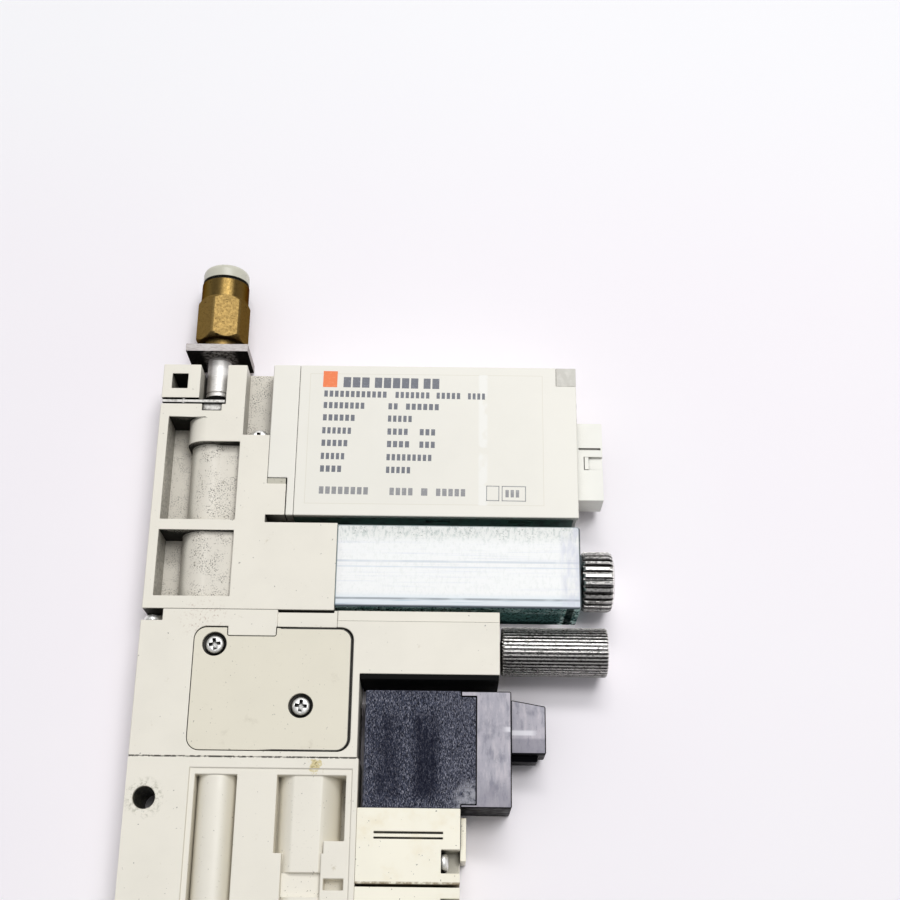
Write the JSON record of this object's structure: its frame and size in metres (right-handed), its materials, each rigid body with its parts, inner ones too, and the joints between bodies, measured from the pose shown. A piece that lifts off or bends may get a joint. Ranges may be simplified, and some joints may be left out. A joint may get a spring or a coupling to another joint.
{
  "type": "vacuum ejector",
  "caption": "Flat vacuum ejector unit with tube port, clear suction filter, pressure switch, flow needle and two solenoid pilot valves.",
  "frame": {"origin": "centre of the upper mounting hole at the back face", "axes": "+Z out of the back face towards the front, through the 9.9 mm thickness; +Y along the stack towards the vacuum port; +X towards the knobs and plug sockets"},
  "size_m": [0.0742, 0.1316, 0.0099],
  "materials": {
    "body_plastic": "moulded, slightly dirty",
    "plate_plastic": "moulded",
    "screw_steel": "zinc plated, bright",
    "clip_steel": "spring steel, bright edge",
    "nickel": "plated, satin",
    "seal_rubber": "matte",
    "brass": "plain brass, dulled",
    "turned_aluminium": "turned",
    "collar_plastic": "moulded",
    "switch_plastic": "moulded, smooth",
    "switch_base": "dark, dull",
    "window_plastic": "translucent",
    "socket_plastic": "white moulding",
    "contact_metal": "tinned",
    "button_plastic": "grey",
    "clear_case": "clear, faint teal tint",
    "element_plastic": "sintered, white",
    "knob_nickel": "knurled, nickel plated",
    "valve_plastic": "moulded, yellowed cream",
    "override_plastic": "amber",
    "coil_resin": "textured, near black",
    "cap_plastic": "smooth, dark grey"
  },
  "bodies": {
    "unit": {"upper_body": "body_plastic", "mid_body": "body_plastic", "lower_body": "body_plastic", "cover_plate": "plate_plastic", "cover_screws": "screw_steel", "tie_screw": "screw_steel", "ledge_screw": "screw_steel", "port_adapter": "nickel", "stem_seal": "seal_rubber", "retaining_clip": "clip_steel", "fitting_body": "brass", "fitting_seal": "seal_rubber", "fitting_chuck": "clip_steel", "switch_bracket": "switch_plastic", "switch_case": "switch_plastic", "switch_base": "switch_base", "switch_window": "window_plastic", "switch_socket": "socket_plastic", "switch_pins": "contact_metal", "filter_case": "clear_case", "filter_gasket": "seal_rubber", "filter_element": "element_plastic", "valve_upper": "valve_plastic", "valve_lower": "valve_plastic", "valve_screw_upper": "screw_steel", "valve_screw_lower": "screw_steel", "end_plate_upper": "valve_plastic", "end_plate_lower": "valve_plastic", "coil_pad": "seal_rubber", "coil_upper": "coil_resin", "coil_lower": "coil_resin", "coil_cap_upper": "cap_plastic", "coil_cap_lower": "cap_plastic", "plug_socket_upper": "cap_plastic", "plug_socket_lower": "cap_plastic", "plug_pins_upper": "contact_metal", "plug_pins_lower": "contact_metal", "ejector_nozzle": "brass", "ejector_diffuser": "turned_aluminium"},
    "release_collar": {"release_collar": "collar_plastic"},
    "filter_knob": {"filter_knob": "knob_nickel"},
    "flow_needle": {"flow_needle": "knob_nickel"},
    "override_upper": {"override_upper": "override_plastic"},
    "override_lower": {"override_lower": "override_plastic"},
    "set_button_upper": {"set_button_upper": "button_plastic"},
    "set_button_lower": {"set_button_lower": "button_plastic"}
  },
  "joints": [
    {"name": "release_collar_push", "type": "slide", "parent": "unit", "child": "release_collar", "axis": [0, -1, 0], "range_m": [0, 0.0005], "stiffness_N_per_m": 2000},
    {"name": "filter_knob_turn", "type": "hinge", "parent": "unit", "child": "filter_knob", "pos_m": [0.06685, 0.0354, 0.00495], "axis": [1, 0, 0], "range_deg": [0, 1440]},
    {"name": "flow_needle_turn", "type": "hinge", "parent": "unit", "child": "flow_needle", "pos_m": [0.05405, 0.0238, 0.00495], "axis": [1, 0, 0], "range_deg": [0, 1800]},
    {"name": "override_upper_push", "type": "slide", "parent": "unit", "child": "override_upper", "axis": [-1, 0, 0], "range_m": [0, 0.0006], "stiffness_N_per_m": 1500},
    {"name": "override_lower_push", "type": "slide", "parent": "unit", "child": "override_lower", "axis": [-1, 0, 0], "range_m": [0, 0.0006], "stiffness_N_per_m": 1500},
    {"name": "set_button_upper_push", "type": "slide", "parent": "unit", "child": "set_button_upper", "axis": [-1, 0, 0], "range_m": [0, 0.0003], "stiffness_N_per_m": 1500},
    {"name": "set_button_lower_push", "type": "slide", "parent": "unit", "child": "set_button_lower", "axis": [-1, 0, 0], "range_m": [0, 0.0003], "stiffness_N_per_m": 1500}
  ]
}
